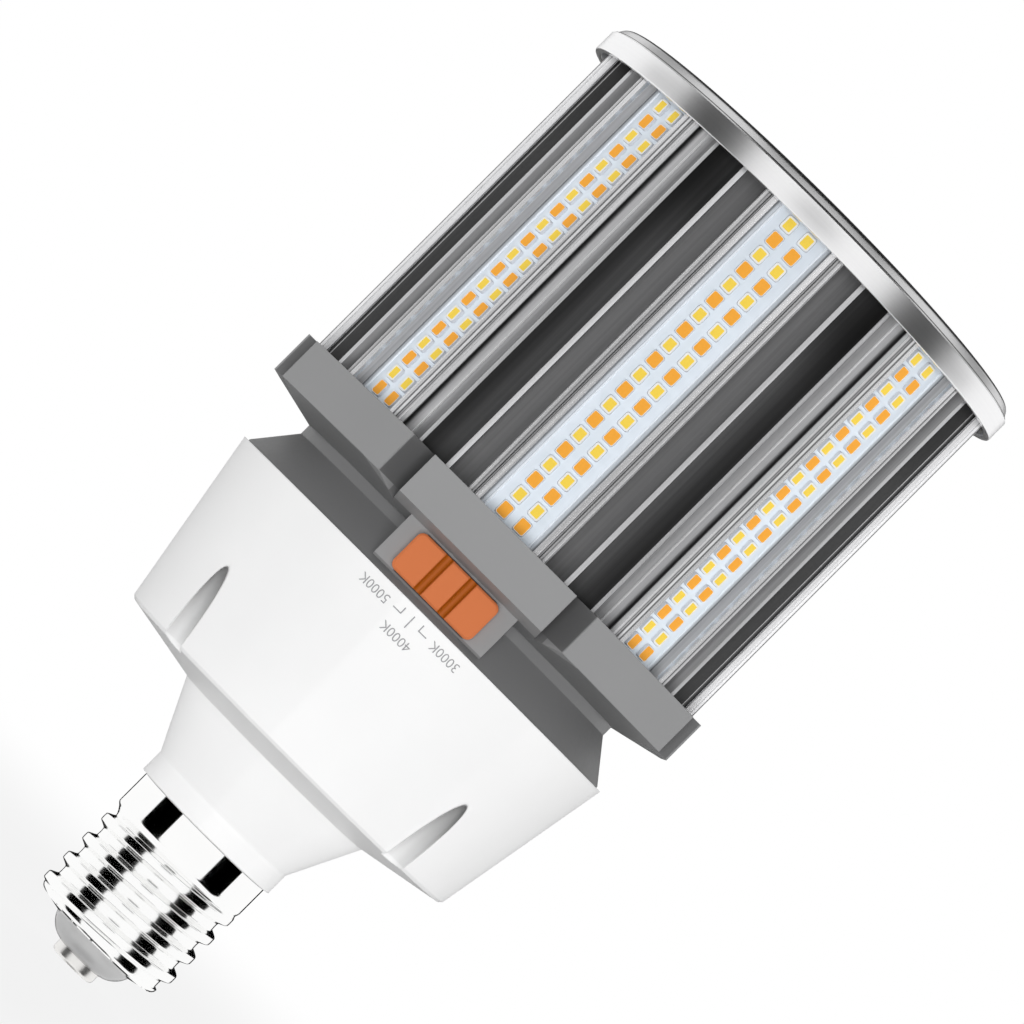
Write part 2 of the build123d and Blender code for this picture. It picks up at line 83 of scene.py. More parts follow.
# %% A node's output that takes part in sums
class Signal:
    """One output of a node. Python's operators on it add Math nodes."""

    def __init__(self, finish, socket):
        self.finish = finish
        self.socket = socket

    def also(self, output):
        """Another output of the same node."""
        return Signal(self.finish, self.socket.node.outputs[output])

    def math(self, operation, *values):
        return self.finish.node("ShaderNodeMath", {"operation": operation}, dict(enumerate(values)))

    def __add__(self, other):
        return self.math("ADD", self, other)

    def __sub__(self, other):
        return self.math("SUBTRACT", self, other)

    def __rsub__(self, other):
        return self.math("SUBTRACT", other, self)

    def __mul__(self, other):
        return self.math("MULTIPLY", self, other)

    def __truediv__(self, other):
        return self.math("DIVIDE", self, other)

    def __pow__(self, other):
        return self.math("POWER", self, other)

    def __abs__(self):
        return self.math("ABSOLUTE", self)

    __radd__ = __add__
    __rmul__ = __mul__

    def root(self):
        return self.math("SQRT", self)

    def either(self, other):
        """The larger of two masks."""
        return self.math("MAXIMUM", self, other)

    def above(self, edge, width):
        """0 below an edge and 1 above it, with a soft step of that width."""
        return self.finish.node(
            "ShaderNodeMapRange",
            {"interpolation_type": "SMOOTHSTEP"},
            {"Value": self, "From Min": edge - width / 2, "From Max": edge + width / 2},
        )


print("sums on node outputs: + - * / ** abs")


# %% A material made of nodes
class Finish:
    """One procedural material, or a world, on Object coordinates."""

    def __init__(self, name, library=None):
        library = bpy.data.materials if library is None else library
        self.owner = library.new(name)
        self.owner.use_nodes = True
        self.tree = self.owner.node_tree
        self.tree.nodes.clear()
        self.place = self.node("ShaderNodeTexCoord", output="Object")

    def node(self, kind, settings=None, sockets=None, output=0):
        """Add any node: its type, its settings, then the values or links of its sockets."""
        made = self.tree.nodes.new(kind)
        for name, value in (settings or {}).items():
            setattr(made, name, value)
        for key, value in (sockets or {}).items():
            socket = made.inputs[key]
            if isinstance(value, Signal):
                self.tree.links.new(value.socket, socket)
            elif socket.type == "RGBA":
                socket.default_value = (*value, 1.0)
            else:
                socket.default_value = value
        return None if output is None else Signal(self, made.outputs[output])

    def axes(self):
        """A point's x, y and z."""
        x = self.node("ShaderNodeSeparateXYZ", None, {"Vector": self.place})
        return x, x.also("Y"), x.also("Z")

    def noise(self, scale, detail=3.0, stretch=(1, 1, 1)):
        """Clouds from 0 to 1, with about `scale` of them to the metre, pulled along by `stretch`."""
        where = self.node("ShaderNodeMapping", None, {"Vector": self.place, "Scale": stretch})
        return self.node("ShaderNodeTexNoise", None, {"Vector": where, "Scale": scale, "Detail": detail})

    def mix(self, factor, first, second):
        """A colour between two others."""
        return self.node("ShaderNodeMix", {"data_type": "RGBA"}, {0: factor, 6: first, 7: second}, output=2)

    def relief(self, height, depth, edge=0):
        """Bump from a height pattern, over edges that look rounded by a radius, if one is given."""
        sockets = {"Distance": depth, "Height": height}
        if edge:
            sockets["Normal"] = self.node("ShaderNodeBevel", {"samples": 4}, {"Radius": edge})
        return self.node("ShaderNodeBump", None, sockets)

    def close(self, shader, output="ShaderNodeOutputMaterial"):
        """Link the last shader to the output, and return what was made."""
        self.node(output, None, {"Surface": shader}, output=None)
        return self.owner

    def surface(self, sockets):
        """Close the material with one Principled shader."""
        return self.close(self.node("ShaderNodeBsdfPrincipled", None, sockets))


def shade(colour, factor):
    """A colour made lighter or darker."""
    return tuple(channel * factor for channel in colour)


print("a finish is one Principled shader with its patterns")

# %% [markdown]
# ## Moulded plastics
# Moulded plastic is never one flat colour: the resin clouds a little and the mould leaves a fine spark
# grain. Both are noise, one slow in the colour and one fine in the relief. A Bevel node also softens the
# edges in the shading, because a mould never leaves a sharp one.

# %% Moulded finishes
cloud_scale = 28
spark_scale = 1600
spark_depth = 0.006 * mm
soft_edge = 0.3 * mm


def clouded(finish, colour):
    """A colour with slow clouds in it."""
    clouds = finish.noise(cloud_scale)
    return finish.mix(clouds, shade(colour, 0.95), shade(colour, 1.04))


def moulded(name, colour, roughness, depth=spark_depth, scale=spark_scale, edge=soft_edge, coat=0.0):
    """Plastic: slow clouds in the colour, fine grain in the relief, softened edges."""
    finish = Finish(name)
    grain = finish.noise(scale)
    return finish.surface({
        "Base Color": clouded(finish, colour),
        "Roughness": roughness - 0.06 + 0.12 * grain,
        "Coat Weight": coat,
        "Normal": finish.relief(grain, depth, edge),
    })


insulator_grey = moulded("insulator_grey", (0.48, 0.48, 0.48), 0.30, coat=0.4)
moulded_black = moulded("moulded_black", (0.025, 0.025, 0.027), 0.45)
mark_grey = moulded("mark_grey", (0.34, 0.34, 0.35), 0.60, edge=0.01 * mm)
capacitor_sleeve = moulded("capacitor_sleeve", (0.03, 0.035, 0.05), 0.28)
wound_core = moulded("wound_core", (0.46, 0.30, 0.07), 0.35, depth=0.03 * mm, scale=700)
print("moulded finishes: 5")

# %% [markdown]
# ## Recesses that hold less light
# Light from all around reaches a recess less than an open face. The finishes of housing, collar and knob
# find such places from a point's own coordinates and darken them, which is painted shade. That depends
# on the piece alone and not on the view, so it holds from every side.

# %% The housing, shaded in its screw channels
housing_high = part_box("driver_housing")[1]
wall_foot = 72.0 * mm
wall_foot_radius = 51.4 * mm
wall_taper = (housing_high.x - wall_foot_radius) / (housing_high.z - wall_foot)
channel_tip = 92.6 * mm
channel_end = 100.0 * mm


def wall_radius(height):
    """The housing's outside radius at a height on its tapered wall, for a number or a Signal."""
    return wall_foot_radius + (height - wall_foot) * wall_taper


def channelled(name, colour):
    """Moulded plastic with screw channels: what lies below the wall's cone is shaded, most at the tip."""
    finish = Finish(name)
    x, y, z = finish.axes()
    sunk = (wall_radius(z) - (x * x + y * y).root()).above(0.3 * mm, 0.4 * mm)
    channel = sunk * z.above(wall_foot + 0.6 * mm, 0.4 * mm) * (1 - z.above(channel_end, 1.0 * mm))
    climb = (z - wall_foot) / (channel_tip - wall_foot)
    # Painted shade: inside a channel the colour darkens from its foot towards its tip.
    shading = channel * (0.12 + 0.46 * climb)
    grain = finish.noise(spark_scale)
    return finish.surface({
        "Base Color": finish.mix(shading, clouded(finish, colour), shade(colour, 0.05)),
        "Roughness": 0.36 + 0.12 * grain,
        "Normal": finish.relief(grain, spark_depth, 0.5 * mm),
    })


housing_white = channelled("housing_white", (0.945, 0.945, 0.945))
print(f"housing wall: radius {wall_foot_radius / mm:.1f} to {housing_high.x / mm:.1f} mm")

# %% Where a point lies in its own panel
panel_count = 8
panel_step = 2 * pi / panel_count
crisp = 0.1 * mm
soft = 0.2 * mm
blurred = 0.3 * mm


def panel_place(finish):
    """How far out a point of a panel is, and how far from the panel's middle line."""
    x, y, _ = finish.axes()
    radius = (x * x + y * y).root()
    turn = y.math("ARCTAN2", y, x) / panel_step + 0.5
    folded = (turn - turn.math("FLOOR", turn) - 0.5) * panel_step
    return radius * x.math("COSINE", folded), radius * abs(x.math("SINE", folded))


def near(signal, middle, half, width):
    """1 within half a width of a middle, 0 elsewhere, with soft steps between."""
    return 1 - abs(signal - middle).above(half, width)


print(f"{panel_count} panels fold into one of {panel_step / radians(1):.0f} degrees")

# %% The collar, with painted shade in its recess and notches
collar_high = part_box("mounting_collar")[1]
knob_low, knob_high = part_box("switch_knob")
knob_middle = (knob_low.z + knob_high.z) / 2
knob_half = (knob_high.z - knob_low.z) / 2
block_low = collar_high.z - 11.5 * mm
block_out = collar_high.x
notch_side = 20.0 * mm
boss_out = 56.9 * mm
slot_half = knob_high.x - 1.6 * mm
paint_scale = 900
paint_depth = 0.012 * mm


def sprayed(name, colour):
    """Sprayed paint, with painted shade in recess and notches and a painted shadow line at the slot."""
    finish = Finish(name)
    out, side = panel_place(finish)
    x, y, z = finish.axes()
    below = 1 - z.above(block_low + 0.1 * mm, soft)
    behind = y.above(-boss_out, soft)
    under_knob = 1 - z.above(knob_low.z - 0.2 * mm, blurred)
    recess = below * behind.either(under_knob)
    # Painted shadow: a near-black line along the top and bottom edges of the knob's slot.
    off_slot = abs(z - knob_middle) - knob_half
    slot = near(off_slot, 0.05 * mm, 0.2 * mm, soft) * near(x, 0, slot_half, 0.8 * mm) * (1 - behind)
    notch = side.above(notch_side, 0.5 * mm) * (1 - out.above(block_out - 0.4 * mm, blurred)) * (1 - below)
    grain = finish.noise(paint_scale)
    # Painted shade: the recess and the notches between the blocks are darkened.
    recess_shaded = finish.mix(0.47 * recess + 0.6 * notch, clouded(finish, colour), shade(colour, 0.1))
    return finish.surface({
        "Base Color": finish.mix(0.9 * slot, recess_shaded, shade(colour, 0.02)),
        "Roughness": 0.44 + 0.12 * grain,
        "Normal": finish.relief(grain, paint_depth, soft_edge),
    })


collar_grey = sprayed("collar_grey", (0.285, 0.286, 0.289))
print(f"collar: blocks {block_out / mm:.1f} mm out, {(collar_high.z - block_low) / mm:.1f} mm tall")

# %% The knob, darker in its two grip grooves
grip_side = 3.8 * mm
grip_half = 1.2 * mm


def grooved(name, colour, groove_shade_colour):
    """Moulded plastic whose grooves hold less light: they are found by place and by depth."""
    finish = Finish(name)
    x, y, _ = finish.axes()
    off_middle = abs(abs(x) - grip_side)
    # Painted shade in the grooves, a little lighter along each groove's middle.
    sunk = y.above(knob_low.y + 0.3 * mm, blurred) * (1 - off_middle.above(grip_half, blurred))
    ridge = 1 - 0.3 * (1 - off_middle.above(0.3 * mm, blurred))
    grain = finish.noise(spark_scale)
    return finish.surface({
        "Base Color": finish.mix(sunk * ridge, colour, groove_shade_colour),
        "Roughness": 0.34 + 0.12 * grain,
        "Specular IOR Level": 0.25,
        "Normal": finish.relief(grain, spark_depth, soft_edge),
    })


knob_orange = grooved("knob_orange", (0.61, 0.176, 0.062), (0.36, 0.086, 0.003))
print(f"knob: grooves {grip_side / mm:.1f} mm to either side")

# %% [markdown]
# ## Plated metal
# The shell is nickel-plated brass, bright as a mirror, so its roughness is low and varies slowly. Its
# thread is a little duller than the plain band, because a holder rubs there. Contact, screws and switch
# are plated as well, and only their numbers differ.

# %% Plated finishes
shell_low, shell_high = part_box("screw_shell")
band_low = shell_high.z - 8.0 * mm
gloss_scale = 60
scratch_scale = 900
scratch_stretch = (1, 1, 0.08)


def plated(name, colour, roughness, worn=0.0):
    """Bright plating: nearly a mirror, with faint clouds in its gloss, duller where a thread wears it."""
    finish = Finish(name)
    clouds = finish.noise(gloss_scale, detail=2.0)
    scratches = finish.noise(scratch_scale, detail=2.0, stretch=scratch_stretch)
    rubbed = 1 - finish.axes()[2].above(band_low, 2 * mm)
    return finish.surface({
        "Base Color": finish.mix(clouds, shade(colour, 0.96), colour),
        "Metallic": 1.0,
        "Roughness": roughness + 0.03 * clouds + 0.02 * scratches + worn * rubbed,
    })


plated_shell = plated("plated_shell", (0.99, 0.99, 0.985), 0.04, worn=0.06)
contact_metal = plated("contact_metal", (0.86, 0.85, 0.83), 0.28)
screw_steel = plated("screw_steel", (0.62, 0.62, 0.63), 0.24)
switch_can = plated("switch_can", (0.70, 0.70, 0.70), 0.26)
print("plated finishes: 4")

# %% [markdown]
# ## The extruded heat sink
# The die draws long streaks along the axis, which is noise stretched a hundredfold. Lips and fin tips get
# painted highlights, and valleys, groove floors and the gaps by the lips get painted shade. How far out
# a point is and how far from its panel's middle tell which face it lies on, so one material colours all
# eight panels, down to the fine dark lines painted along the lips.

# %% The lines of one panel
board_out = -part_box("led_board_1")[0].y
floor_out = board_out - 10.6 * mm
fin_out = board_out + 0.2 * mm
fin_from = 15.0 * mm
fin_side = floor_out * (sqrt(2) - 1)
lip_out = board_out + 4.0 * mm
lip_edge = 8.56 * mm
ridge_side = 12.0 * mm
undercut_out = lip_out - 2.6 * mm
gap_side = 10.44 * mm
lip_side = 10.1 * mm
step_side = 10.8 * mm
lip_line_side = 11.25 * mm
cap_low, cap_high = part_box("top_cap")
rim_shade_middle = cap_low.z - 19.0 * mm
rim_shade_length = 25.0 * mm


# A painted shadow: this mask darkens valleys and boards just below the cap's rim.
def under_cap(finish):
    """The cap's rim keeps light off the top of the panels: 1 close below it, fading out downwards."""
    return finish.axes()[2].above(rim_shade_middle, rim_shade_length)


def grey(level):
    """The grey of bare aluminium, which has a trace of blue."""
    return (level, level, level * 1.015)


print(f"lips {lip_out / mm:.1f} mm out, fins {fin_out / mm:.1f} mm, valleys {floor_out / mm:.1f} mm")


# %% Extruded aluminium, bright on its lips and dark in its valleys
streak_scale = 900
streak_stretch = (1, 1, 0.008)
streak_depth = 0.004 * mm


def extruded(name):
    """Streaked aluminium. A point's place in its own panel says how bright it is."""
    finish = Finish(name)
    out, side = panel_place(finish)
    rise = (out - floor_out) / (fin_out - floor_out)
    depth = (1 - rise).either(0)
    outer = out.above(fin_out - 0.12 * mm, crisp)
    fin = side.above(fin_from, 1.0 * mm)
    fin_tip = outer * fin
    valley = side.above(fin_side - 0.3 * mm, soft) * (1 - outer)
    floor = 1 - out.above(floor_out + 0.4 * mm, 0.4 * mm)
    lip = out.above(lip_out - 1.2 * mm, blurred)
    gap = near(side, gap_side, 0.3 * mm, crisp) * (1 - out.above(lip_out - 0.9 * mm, blurred))
    step = near(side, step_side, 0.4 * mm, soft) * lip * (1 - out.above(lip_out - 0.7 * mm, soft))
    lip_line = near(side, lip_line_side, 0.15 * mm, 0.16 * mm) * lip
    edge = near(side, lip_side, 0.14 * mm, 0.06 * mm) * out.above(lip_out - 0.3 * mm, crisp)
    lip_wall = near(side, lip_side + 0.22 * mm, 0.18 * mm, 0.04 * mm) * lip
    ridge_top = side.above(lip_side + 0.3 * mm, crisp)
    # Painted shadow on the ridge face under the lip, darkest just below the undercut.
    shade_low = 0.95 * out.above(undercut_out - 1.3 * mm, 2.0 * mm)
    shade_high = 1 - out.above(undercut_out - 0.1 * mm, soft)
    undercut = shade_low * shade_high * near(side, ridge_side, 0.8 * mm, soft)
    rib = side.above(ridge_side + 0.2 * mm, crisp)
    wall = out.above(fin_out, blurred) * (1 - side.above(gap_side, soft)) * (1 - lip)
    ridge_face = out.above(undercut_out + 0.4 * mm, soft) * side.above(ridge_side, soft) * (1 - fin)
    # Dark lines painted along each lip; in the gap and at the lip's edge they are painted shade.
    lines = gap.either(lip_line.either(edge))

    # Painted light and shade by face: dark valleys, groove floors and fin walls, bright lips and fin tips.
    fin_wall = finish.mix(rise, grey(0.14), grey(0.50))
    ridge_wall = finish.mix(rib, finish.mix(rise, grey(0.62), grey(0.78)), grey(0.55))
    valley_shade = finish.mix(depth ** 2.0, grey(0.038), grey(0.26))
    # Painted shadow of the cap's rim in the valleys.
    valley_shade = finish.mix(0.6 * under_cap(finish), valley_shade, grey(0.004))
    lip_top = finish.mix(ridge_top, finish.mix(lip_wall, grey(0.90), grey(0.97)), grey(0.61))
    lip_top = finish.mix(side.above(lip_edge, crisp), grey(0.60), lip_top)
    colour = finish.mix(fin, finish.mix(wall, ridge_wall, grey(0.46)), fin_wall)
    colour = finish.mix(lip, colour, lip_top)
    colour = finish.mix(ridge_face, colour, grey(0.85))
    colour = finish.mix(floor, colour, grey(0.17))
    colour = finish.mix(fin_tip, colour, grey(0.75))
    colour = finish.mix(valley, colour, valley_shade)
    # Painted shade on the step and along the lines, and the painted shadow under the lip.
    colour = finish.mix(step, colour, grey(0.40))
    colour = finish.mix(lines * (1 - fin), colour, grey(0.22))
    colour = finish.mix(undercut, colour, grey(0.004))
    polished = lip * (1 - 0.6 * ridge_top) * (1 - lip_wall)
    streaks = finish.noise(streak_scale, detail=4.0, stretch=streak_stretch)
    drawn = finish.node("ShaderNodeHueSaturation", None, {"Value": 0.55 + 0.9 * streaks, "Color": colour})
    return finish.surface({
        "Base Color": drawn,
        "Metallic": 0.15 + 0.8 * polished.either(undercut.either(fin_tip)),
        "Roughness": 0.26 + 0.16 * streaks - 0.12 * lip,
        "Normal": finish.relief(streaks * (1 - lip), streak_depth),
    })


sink_aluminium = extruded("sink_aluminium")
print(f"heat sink: {len(sink_aluminium.node_tree.nodes)} nodes")

# %% [markdown]
# ## The spun cap
# The cap is spun on a lathe, so its streaks run round the axis. The noise is given a point's radius and
# height and never its angle. The line under the ring, the band inside it and the darker sloped ring are
# painted dark reflections, set as bands at a height and at a radius.

# %% Spun aluminium
cap_radius = -cap_low.x
ring_foot = cap_high.z - 2.55 * mm
ring_top = cap_high.z - 0.5 * mm
ring_out = cap_radius - 0.75 * mm
ring_in = cap_radius - 2.0 * mm
slope_in = cap_radius - 3.7 * mm
turning_scale = 2500


def spun(name, colour, roughness):
    """Turning marks: noise that depends on height and radius alone, so it runs round the axis."""
    finish = Finish(name)
    x, y, z = finish.axes()
    radius = (x * x + y * y).root()
    where = finish.node("ShaderNodeCombineXYZ", None, {"X": radius, "Z": z})
    marks = finish.node(
        "ShaderNodeTexNoise", None, {"Vector": where, "Scale": turning_scale, "Detail": 3.0},
    )
    # Painted dark reflections: the band called seam, the line at the ring's foot, the toned sloped ring.
    upper = z.above(ring_foot, soft)
    seam = near(radius, ring_in - 0.6 * mm, 0.65 * mm, soft) * upper
    foot = 0.85 * near(z, ring_foot, 0.14 * mm, crisp)
    turned = finish.mix(marks, shade(colour, 0.94), colour)
    toned = finish.mix(upper * radius.above(ring_in - 0.2 * mm, soft), turned, shade(colour, 0.70))
    return finish.surface({
        "Base Color": finish.mix(seam.either(foot), toned, shade(colour, 0.03)),
        "Metallic": 1.0,
        "Roughness": roughness + 0.06 * marks,
    })


cap_polished = spun("cap_polished", (0.95, 0.95, 0.955), 0.27)
print(f"cap: ring from {ring_foot / mm:.1f} to {ring_top / mm:.1f} mm")

# %% [markdown]
# ## Boards and phosphor
# The LED boards are aluminium under a white solder mask, with copper tracks that show as faint steps.
# The phosphor is silicone with powder in it: a saturated colour that is a little paler where it is thin.
# The driver's laminate carries the same kind of mask in another colour.

# %% Board finishes
bead_side = 7.1 * mm
track_scale = 120
track_stretch = (1, 1, 0.35)
track_height = 0.01 * mm
lacquer_scale = 1800
powder_scale = 2400


def solder_mask(name, colour, track_tint, edge_tint):
    """Lacquer over copper tracks: blocks of slightly other tint, and bare long edges outside the beads."""
    finish = Finish(name)
    side = panel_place(finish)[1]
    tracks = finish.noise(track_scale, detail=0.0, stretch=track_stretch).above(0.52, 0.02)
    grain = finish.noise(lacquer_scale, detail=2.0)
    lacquer = finish.mix(tracks, colour, track_tint)
    # The bare edges are grey; their darkening towards the lips is painted shade.
    bare = finish.mix(side.above(bead_side + 1.0 * mm, 0.5 * mm), edge_tint, shade(edge_tint, 0.35))
    board = finish.mix(side.above(bead_side, 0.4 * mm), lacquer, bare)
    return finish.surface({
        # Painted shadow of the cap's rim on the boards' top ends.
        "Base Color": finish.mix(0.08 * under_cap(finish), board, (0, 0, 0)),
        "Roughness": 0.30 + 0.10 * grain,
        "Normal": finish.relief(tracks, track_height),
    })


def phosphor(name, colour):
    """Silicone and powder: a grain of two close tints under a clear skin."""
    finish = Finish(name)
    powder = finish.noise(powder_scale, detail=2.0)
    return finish.surface({
        "Base Color": finish.mix(powder, shade(colour, 0.93), shade(colour, 1.05)),
        "Roughness": 0.34 + 0.1 * powder,
        "Specular IOR Level": 0.15,
    })


board_white = solder_mask("board_white", (0.80, 0.87, 0.945), (0.775, 0.845, 0.915), (0.64, 0.68, 0.73))
driver_laminate = solder_mask("driver_laminate", (0.05, 0.20, 0.09), (0.07, 0.27, 0.12), (0.05, 0.18, 0.08))
warm_phosphor = phosphor("warm_phosphor", (0.96, 0.425, 0.054))
cool_phosphor = phosphor("cool_phosphor", (0.97, 0.70, 0.095))
bead_silicone = moulded("bead_silicone", (0.84, 0.89, 0.95), 0.40, edge=0.01 * mm)
package_white = moulded("package_white", (0.88, 0.88, 0.86), 0.35, edge=0.08 * mm)
# A grey copy of the package's white: painted shade for its sides.
package_side_shade = moulded("package_side_shade", (0.64, 0.66, 0.70), 0.45, edge=0.08 * mm)
print("boards, phosphors and silicone: 7")

# %% [markdown]
# ## Dress the CAD pieces
# A CAD piece whose shape is right keeps it and only gets a finish. The record names a material slot for
# every node, and the finishes above have the same names, so a loop can put them together.

# %% Finishes by slot
finishes = {
    finish.name: finish
    for finish in (
        plated_shell, insulator_grey, contact_metal, housing_white, collar_grey, knob_orange, switch_can,
        driver_laminate, screw_steel, sink_aluminium, cap_polished, wound_core, capacitor_sleeve,
        moulded_black, board_white, warm_phosphor, cool_phosphor,
    )
}
slot_of = {row["node"]: row["material_slot"] for row in frame["record"]["subparts"]}
for node_name, node in nodes.items():
    node.data.materials.clear()
    node.data.materials.append(finishes[slot_of[node_name]])
print(f"{len(nodes)} nodes dressed from {len(set(slot_of.values()))} slots")

# %% [markdown]
# ## From a wire to a round piece
# Everything at the base end is round. The quickest way to such a piece is a wire, drawn as radius and
# height, with its corners rounded by a vertex bevel, and then spun about the axis. Three small helpers do
# that. Three more turn a finished bmesh into a piece that rides on its body and stands for a CAD node.

# %% Lathe helpers
around = 128


def draw_wire(bm, points):
    """Join points, given as radius and height, into a wire, and return its vertices."""
    verts = [bm.verts.new((radius, 0, height)) for radius, height in points]
    for pair in zip(verts, verts[1:]):
        bm.edges.new(pair)
    return verts


def round_corners(bm, verts, radius, segments=5):
    """Round some corners of a wire."""
    bmesh.ops.bevel(
        bm, geom=verts, offset=radius, offset_type="OFFSET", segments=segments, profile=0.5,
        affect="VERTICES", material=-1,
    )


def spin_wire(bm, steps=around):
    """Turn every wire in the bmesh about the lamp's axis and close the seam."""
    bmesh.ops.spin(
        bm, geom=bm.verts[:] + bm.edges[:], cent=(0, 0, 0), axis=(0, 0, 1), angle=2 * pi, steps=steps,
        use_merge=True,
    )
    bmesh.ops.remove_doubles(bm, verts=bm.verts[:], dist=0.001 * mm)
    bmesh.ops.recalc_face_normals(bm, faces=bm.faces[:])


print(f"round pieces: {around} steps a turn")


# %% From a bmesh to a piece
def to_mesh(bm, name):
    """Turn a bmesh into a mesh."""
    mesh = bpy.data.meshes.new(name)
    bm.to_mesh(mesh)
    bm.free()
    return mesh


def add_object(name, data):
    """Put a mesh, a text, a light or a camera into the scene."""
    made = bpy.data.objects.new(name, data)
    scene.collection.objects.link(made)
    return made


def make_piece(bm, name, body, materials, replaced=(), crease=35):
    """Turn a bmesh into a piece: smooth but for its creases, dressed, and riding on its body."""
    mesh = to_mesh(bm, name)
    for material in materials:
        mesh.materials.append(material)
    mesh.shade_smooth()
    mesh.set_sharp_from_angle(angle=radians(crease))
    piece = add_object(name, mesh)
    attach(piece, body)
    if replaced:
        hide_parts(*replaced)
    return piece


print("a piece rides on a body, has a slot and may stand for CAD nodes")

# %% [markdown]
# ## Contact and insulator
# The contact is a tinned button, pressed over a rivet. The insulator is a glazed dish that bows out
# between button and shell. Both are wires with rounded corners, spun once round.

# %% Spin the contact
contact_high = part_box("centre_contact")[1]
insulator_low, insulator_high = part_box("base_insulator")
contact_radius = contact_high.x
contact_round = 1.0 * mm
rivet_radius = 1.8 * mm

bm = bmesh.new()
wire = draw_wire(bm, [
    (0, 0),
    (contact_radius, 0),
    (contact_radius, insulator_low.z),
    (rivet_radius, insulator_low.z),
    (rivet_radius, contact_high.z),
    (0, contact_high.z),
])
round_corners(bm, [wire[1]], contact_round)
spin_wire(bm)
make_piece(bm, "contact_button", "lamp", [contact_metal], ["centre_contact"])
print(f"contact: {2 * contact_radius / mm:.1f} mm across")

# %% Spin the dish, with a bow: a corner outside the straight line, rounded as far as its arms allow
dish_radius = 11.8 * mm
flange_rise = 1.0 * mm
bow = 1.15 * mm
bow_round = 2.6 * mm

bm = bmesh.new()
wire = draw_wire(bm, [
    (rivet_radius, insulator_low.z),
    (contact_radius, insulator_low.z),
    ((contact_radius + dish_radius) / 2 + bow, (insulator_low.z + shell_low.z) / 2 - bow),
    (dish_radius, shell_low.z),
    (dish_radius, shell_low.z + flange_rise),
    (insulator_high.x, shell_low.z + flange_rise),
    (insulator_high.x, insulator_high.z),
    (rivet_radius, insulator_high.z),
    (rivet_radius, insulator_low.z),
])
round_corners(bm, [wire[2]], bow_round, segments=10)
spin_wire(bm)
make_piece(bm, "insulator_dish", "lamp", [insulator_grey], ["base_insulator"])
print(f"dish: {2 * dish_radius / mm:.1f} mm across")

# %% [markdown]
# ## The rolled thread
# A mogul shell is thin brass, rolled between two wavy dies, so its thread is round at crest and root. A
# wavy wire, several pitches tall, is spun through one full turn while each step also lifts it by its
# share of a pitch. After the turn it has climbed exactly one pitch, so its points meet the first ones
# again and the seam closes. Planes trim the ends. The wave fades out into the plain band above, and the
# rolled-in bottom follows it below.

# %% Measures of the wave
def smooth_step(value, low, high):
    """0 below, 1 above, and an S-shaped rise between."""
    share = min(max((value - low) / (high - low), 0), 1)
    return share * share * (3 - 2 * share)


crest = shell_high.x
thread_pitch = 6.35 * mm
thread_depth = 2.05 * mm
groove_half = 1.0 * mm
crest_half = 0.85 * mm
crest_round = 0.12
groove_start = 5.15 * mm
points_per_pitch = 48
wave_count = 8
shoulder = 1.5 * mm
bottom_rise = 1.0 * mm
plain_band = 7.5 * mm
trim_low = shell_low.z + bottom_rise + shoulder
trim_high = shell_high.z - plain_band
weld = 0.005 * mm
print(f"thread: pitch {thread_pitch / mm:.2f} mm, {thread_depth / mm:.2f} mm deep")

# %% Spin the wave and trim it
bm = bmesh.new()
wave = []
for index in range(wave_count * points_per_pitch + 1):
    share = index / points_per_pitch
    off_groove = abs((share + 0.5) % 1 - 0.5) * thread_pitch
    rise = smooth_step(off_groove, groove_half, thread_pitch / 2 - crest_half)
    swell = 0.5 + 0.5 * cos(2 * pi * share)
    depth = thread_depth * ((1 - crest_round) * (1 - rise) + crest_round * swell)
    wave.append((crest - depth, groove_start + (share - 1) * thread_pitch))
draw_wire(bm, wave)
bmesh.ops.spin(
    bm, geom=bm.verts[:] + bm.edges[:], cent=(0, 0, 0), axis=(0, 0, 1), angle=2 * pi, steps=around,
    dvec=(0, 0, thread_pitch / around),
)
bmesh.ops.remove_doubles(bm, verts=bm.verts[:], dist=weld)
for height, inner, outer in ((trim_low, True, False), (trim_high, False, True)):
    bmesh.ops.bisect_plane(
        bm, geom=bm.verts[:] + bm.edges[:] + bm.faces[:], plane_co=(0, 0, height), plane_no=(0, 0, 1),
        clear_inner=inner, clear_outer=outer,
    )
print(f"thread: {len(bm.faces)} faces after trimming")

# %% Fade the wave into the band
fade_low = trim_high - 5.2 * mm
fade_high = trim_high - 0.6 * mm
for vert in bm.verts:
    radius = hypot(vert.co.x, vert.co.y)
    kept = 1 - smooth_step(vert.co.z, fade_low, fade_high)
    wanted = crest - (crest - radius) * kept
    vert.co.x *= wanted / radius
    vert.co.y *= wanted / radius
print(f"the wave fades over {(fade_high - fade_low) / mm:.1f} mm")


# %% Close the shell: the band and its rim above, the rounded shoulder and the lip below
def pull_rim(bm, height, stations):
    """Extrude the open rim at a height through stations of radius (or, below 0, step inwards) and level."""
    rim = [edge for edge in bm.edges if edge.is_boundary and abs(edge.verts[0].co.z - height) < 2 * weld]
    for radius, level in stations:
        made = bmesh.ops.extrude_edge_only(bm, edges=rim)["geom"]
        rim = [item for item in made if isinstance(item, bmesh.types.BMEdge)]
        for vert in (item for item in made if isinstance(item, bmesh.types.BMVert)):
            reach = hypot(vert.co.x, vert.co.y)
            ratio = (radius if radius > 0 else reach + radius) / reach
            vert.co = (vert.co.x * ratio, vert.co.y * ratio, level)


